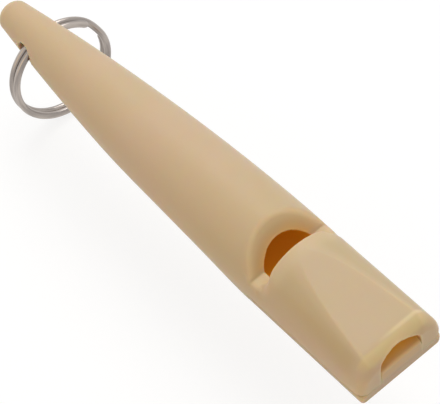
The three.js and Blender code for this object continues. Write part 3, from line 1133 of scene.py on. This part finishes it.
@dataclass
class SplitRing:
    """Split ring of wire through the tail hole, wound along its own rule."""

    form: WhistleForm
    finish: DrawnSteel
    name: str = "split_ring_wire"
    node: str = "split_ring"
    slot: str = "ring_steel"
    mean_radius: float = 7.45
    wire_radius: float = 0.5
    turn_pitch: float = 1.05
    crossover_angle: float = math.radians(24.0)
    end_gap_angle: float = math.radians(5.0)
    crossover_place: float = math.radians(80.0)
    seat: float = 0.7
    shift: float = 1.2
    roll: float = math.radians(3.5)
    hang: float = math.radians(84.5)
    steps: int = 420
    sides: int = 20
    end_taper: float = 0.004
    end_thickness: float = 0.7

    @property
    def sweep(self) -> float:
        """The angle that the wire turns through from end to end."""
        return 2.0 * math.tau - self.crossover_angle - 2.0 * self.end_gap_angle

    def build(self) -> bpy.types.Object:
        """Winds the wire, makes it a plain mesh and hangs it in the tail hole."""
        seed = bpy.data.meshes.new(self.name + "_seed")
        holder = bpy.data.objects.new(self.name + "_winding", seed)
        bpy.context.scene.collection.objects.link(holder)
        tree = self._tree(self.finish.make())
        winding = holder.modifiers.new("winding", "NODES")
        winding.node_group = tree
        self._set_inputs(winding, tree)
        graph = bpy.context.evaluated_depsgraph_get()
        mesh = bpy.data.meshes.new_from_object(holder.evaluated_get(graph))
        holder.modifiers.remove(winding)
        bpy.data.objects.remove(holder)
        mesh.name = self.name
        mesh.transform(self._hanging())
        return place_piece(self.name, mesh, Body.RING, self.node)

    def _hanging(self) -> Matrix:
        """The place and turn of the ring in the row frame."""
        hole = Vector((self.form.hole_x, 0.0, self.form.axis_height)) * MM
        centre = Vector((self.mean_radius - self.seat, self.shift, 0.0)) * MM
        return (
            Matrix.Translation(hole)
            @ Matrix.Rotation(self.hang, 4, "Y")
            @ Matrix.Translation(centre)
            @ Matrix.Rotation(self.roll, 4, "X")
        )

    def _inputs(self) -> dict[str, float | int]:
        """The winding's named inputs with their values."""
        return {
            "Mean Radius": self.mean_radius * MM,
            "Wire Radius": self.wire_radius * MM,
            "Turn Pitch": self.turn_pitch * MM,
            "Start Angle": self.crossover_place + self.end_gap_angle / 2.0,
            "Sweep": self.sweep,
            "Crossover Start": math.tau - self.crossover_angle - self.end_gap_angle,
            "Crossover Angle": self.crossover_angle,
            "End Taper": self.end_taper,
            "Steps": self.steps,
            "Sides": self.sides,
        }

    def _set_inputs(self, winding: bpy.types.Modifier, tree: bpy.types.NodeTree) -> None:
        """Sets the modifier's inputs by the identifiers of the tree's sockets."""
        values = self._inputs()
        for item in tree.interface.items_tree:
            if item.item_type == "SOCKET" and item.in_out == "INPUT" and item.name in values:
                winding[item.identifier] = values[item.name]

    def _tree(self, material: bpy.types.Material) -> bpy.types.NodeTree:
        """Builds the winding's node tree.

        Args:
            material: The wire's material.

        Returns:
            The tree.
        """
        tree = bpy.data.node_groups.new(self.name + "_tree", "GeometryNodeTree")
        for name, value in self._inputs().items():
            kind = "NodeSocketInt" if isinstance(value, int) else "NodeSocketFloat"
            tree.interface.new_socket(name, in_out="INPUT", socket_type=kind)
        tree.interface.new_socket("Geometry", in_out="OUTPUT", socket_type="NodeSocketGeometry")
        board = NodeBoard(tree)
        given = board.add("NodeGroupInput").outputs
        line = board.add("GeometryNodeCurvePrimitiveLine").outputs["Curve"]
        inputs = {"Curve": line, "Count": given["Steps"]}
        line = board.add("GeometryNodeResampleCurve", inputs).outputs[0]
        share = board.add("GeometryNodeSplineParameter").outputs["Factor"]

        turn = board.math("MULTIPLY", share, given["Sweep"])
        angle = board.math("ADD", turn, given["Start Angle"])
        half_pitch = board.math("MULTIPLY", given["Turn Pitch"], 0.5)
        cross_end = board.math("ADD", given["Crossover Start"], given["Crossover Angle"])
        low = board.math("MULTIPLY", half_pitch, -1.0)
        layer = board.spread(turn, (given["Crossover Start"], cross_end), (low, half_pitch))
        back = board.math("MULTIPLY", given["Mean Radius"], -1.0)
        point = board.add(
            "ShaderNodeCombineXYZ",
            {
                "X": board.math("MULTIPLY", board.math("COSINE", angle), back),
                "Y": board.math("MULTIPLY", board.math("SINE", angle), given["Mean Radius"]),
                "Z": layer,
            },
        ).outputs[0]
        path = board.add("GeometryNodeSetPosition", {"Geometry": line, "Position": point}).outputs[0]

        from_end = board.math("MINIMUM", share, board.math("SUBTRACT", 1.0, share))
        thickness = board.spread(from_end, (0.0, given["End Taper"]), (self.end_thickness, 1.0))
        path = self._stored(board, path, Trait.ALONG, share)
        ring = board.add(
            "GeometryNodeCurvePrimitiveCircle",
            {"Resolution": given["Sides"], "Radius": given["Wire Radius"]},
        ).outputs["Curve"]
        around = board.add("GeometryNodeSplineParameter").outputs["Factor"]
        ring = self._stored(board, ring, Trait.AROUND, around)
        wire = board.add(
            "GeometryNodeCurveToMesh",
            {"Curve": path, "Profile Curve": ring, "Scale": thickness, "Fill Caps": True},
        ).outputs[0]
        wire = board.add("GeometryNodeSetShadeSmooth", {"Geometry": wire}).outputs[0]
        wire = board.add("GeometryNodeRealizeInstances", {"Geometry": wire}).outputs[0]
        wire = board.add("GeometryNodeSetMaterial", {"Geometry": wire, "Material": material}).outputs[0]
        board.add("NodeGroupOutput", {"Geometry": wire})
        return tree

    @staticmethod
    def _stored(board: NodeBoard, curve: Any, trait: Trait, value: Any) -> bpy.types.NodeSocket:
        """Stores a value on a curve's points for the material."""
        inputs = {"Geometry": curve, "Name": trait.value, "Value": value}
        node = board.add("GeometryNodeStoreNamedAttribute", inputs, data_type="FLOAT", domain="POINT")
        return node.outputs[0]


# Studio


@dataclass(frozen=True)
class SoftLamp:
    """A square area lamp that points at the whistle."""

    name: str
    place: tuple[float, float, float]
    size: float
    power: float
    colour: Colour = WHITE


@dataclass
class Studio:
    """Camera, soft light and pale floor."""

    aim: Vector = field(default_factory=lambda: Vector((-0.0235, 0.0, 0.00165)))
    camera_place: Vector = field(default_factory=lambda: Vector((113.41, -78.32, 222.10)) * MM)
    camera_right: Vector = field(default_factory=lambda: Vector((0.6411, 0.7564, -0.1297)))
    camera_up: Vector = field(default_factory=lambda: Vector((-0.5779, 0.5870, 0.5671)))
    lens: float = 173.35
    sensor_width: float = 36.0
    clip_start: float = 0.01
    ambient: float = 0.55
    floor_drop: float = 0.0002
    floor_size: float = 3.0
    floor_colour: Colour = (0.8, 0.8, 0.8)
    floor_bounce: Colour = (0.86, 0.80, 0.76)
    floor_glow: float = 1.1
    shadow_share: float = 0.26
    lamps: tuple[SoftLamp, ...] = (
        SoftLamp("key_lamp", (-0.25, 0.30, 0.55), 0.45, 2.2),
        SoftLamp("left_lamp", (-0.05, -0.50, 0.32), 0.40, 0.47, (1.0, 0.73, 0.36)),
        SoftLamp("front_lamp", (0.45, 0.08, 0.12), 0.25, 0.05, (1.0, 0.66, 0.40)),
    )

    def build(self) -> None:
        """Sets up the camera, the world, the lamps and the floor."""
        scene = bpy.context.scene
        scene.view_settings.view_transform = "Standard"
        self._camera(scene)
        self._world(scene)
        for lamp in self.lamps:
            self._lamp(lamp)
        self._floor()

    def _camera(self, scene: bpy.types.Scene) -> None:
        """Stands the camera at the photograph's viewpoint."""
        data = bpy.data.cameras.new("camera")
        data.lens = self.lens
        data.sensor_width = self.sensor_width
        data.clip_start = self.clip_start
        camera = bpy.data.objects.new("camera", data)
        scene.collection.objects.link(camera)
        right, up = self.camera_right.normalized(), self.camera_up.normalized()
        back = right.cross(up).normalized()
        up = back.cross(right)
        turn = Matrix((right, up, back)).transposed().to_4x4()
        camera.matrix_world = Matrix.Translation(self.camera_place) @ turn
        scene.camera = camera

    @staticmethod
    def _seen(board: NodeBoard) -> bpy.types.NodeSocket:
        """1 for rays from the camera or by way of gloss or glass, and 0 for others."""
        path = board.add("ShaderNodeLightPath").outputs
        seen = board.math("MAXIMUM", path["Is Camera Ray"], path["Is Glossy Ray"])
        return board.math("MAXIMUM", seen, path["Is Transmission Ray"])

    def _world(self, scene: bpy.types.Scene) -> None:
        """White all round, at the ambient level for what it lights."""
        world = bpy.data.worlds.new("studio")
        world.use_nodes = True
        scene.world = world
        board = NodeBoard(world.node_tree)
        strength = board.spread(self._seen(board), UNIT, (self.ambient, 1.0))
        sky = board.add("ShaderNodeBackground", {"Color": opaque(WHITE), "Strength": strength})
        board.add("ShaderNodeOutputWorld", {"Surface": sky.outputs[0]})

    def _lamp(self, lamp: SoftLamp) -> None:
        """Adds one lamp, turned to the whistle."""
        data = bpy.data.lights.new(lamp.name, "AREA")
        data.shape = "SQUARE"
        data.size = lamp.size
        data.energy = lamp.power
        data.color = lamp.colour
        light = bpy.data.objects.new(lamp.name, data)
        bpy.context.scene.collection.objects.link(light)
        light.location = lamp.place
        light.rotation_mode = "QUATERNION"
        light.rotation_quaternion = (self.aim - light.location).to_track_quat("-Z", "Y")

    def _floor(self) -> None:
        """Lays a pale floor under the lowest point of the object, with its shadow kept."""
        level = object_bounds()[0].z - self.floor_drop
        half = self.floor_size / 2.0
        mesh = bpy.data.meshes.new("floor")
        corners = ((-half, -half), (half, -half), (half, half), (-half, half))
        mesh.from_pydata([(*corner, level) for corner in corners], [], [(0, 1, 2, 3)])
        floor = bpy.data.objects.new("floor", mesh)
        bpy.context.scene.collection.objects.link(floor)
        material, board = new_material("floor_paint")
        seen = self._seen(board)
        colour = board.blend(seen, self.floor_bounce, self.floor_colour)
        paint = board.add("ShaderNodeBsdfDiffuse", {"Color": colour}).outputs[0]
        inputs = {"Color": opaque(WHITE), "Strength": self.floor_glow}
        glow = board.add("ShaderNodeEmission", inputs).outputs[0]
        share = board.math("MULTIPLY", seen, 1.0 - self.shadow_share)
        inputs = {"Fac": share, "Shader": paint, "Shader_001": glow}
        mixed = board.add("ShaderNodeMixShader", inputs).outputs[0]
        board.add("ShaderNodeOutputMaterial", {"Surface": mixed})
        mesh.materials.append(material)
        floor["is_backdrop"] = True


# Grids of the two mouldings, finer across the slot, the seams and the end face

ACROSS = graded(
    (-7.14, -3.42, 0.17),
    (-3.42, -3.18, 0.04),
    (-3.18, 3.18, 0.17),
    (3.18, 3.42, 0.04),
    (3.42, 7.14, 0.17),
)
BODY_GRID = FieldMesher(
    xs=graded(
        (-70.1, -54.0, 0.26),
        (-54.0, -25.0, 0.7),
        (-25.0, -12.6, 0.3),
        (-12.6, -6.6, 0.15),
        (-6.6, 8.1, 0.3),
        (8.1, 10.3, 0.2),
        (10.3, 10.62, 0.04),
    ),
    ys=ACROSS,
    zs=graded((-5.6, 1.28, 0.17), (1.28, 1.52, 0.04), (1.52, 8.9, 0.17)),
)
BLOCK_GRID = FieldMesher(
    xs=graded((-11.1, 10.3, 0.2), (10.3, 10.62, 0.04)),
    ys=ACROSS,
    zs=graded((-0.5, 1.28, 0.14), (1.28, 1.52, 0.04), (1.52, 6.4, 0.14)),
)


def main() -> None:
    """Builds the pieces in order, then the studio."""
    logging.basicConfig(level=logging.INFO, format="%(name)s: %(message)s")
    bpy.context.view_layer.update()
    form = WhistleForm()
    tones = ToneMap(form)
    body = Moulding(
        name="whistle_body_moulding",
        node="whistle_body",
        slot="body_plastic",
        shape=form.body,
        mesher=BODY_GRID,
        tones=tones,
        finish=MouldedPlastic("body_plastic_moulded"),
    )
    block = Moulding(
        name="fipple_block_moulding",
        node="fipple_block",
        slot="block_plastic",
        shape=form.block,
        mesher=BLOCK_GRID,
        tones=tones,
        finish=MouldedPlastic(
            "block_plastic_moulded",
            base=(0.538, 0.398, 0.254),
            blush=(0.548, 0.400, 0.268),
            ochre=(0.529, 0.394, 0.240),
        ),
    )
    ring = SplitRing(form, DrawnSteel("ring_steel_drawn"))
    for part in (body, block, ring):
        part.build()
    Studio().build()


if __name__ == "__main__":
    main()
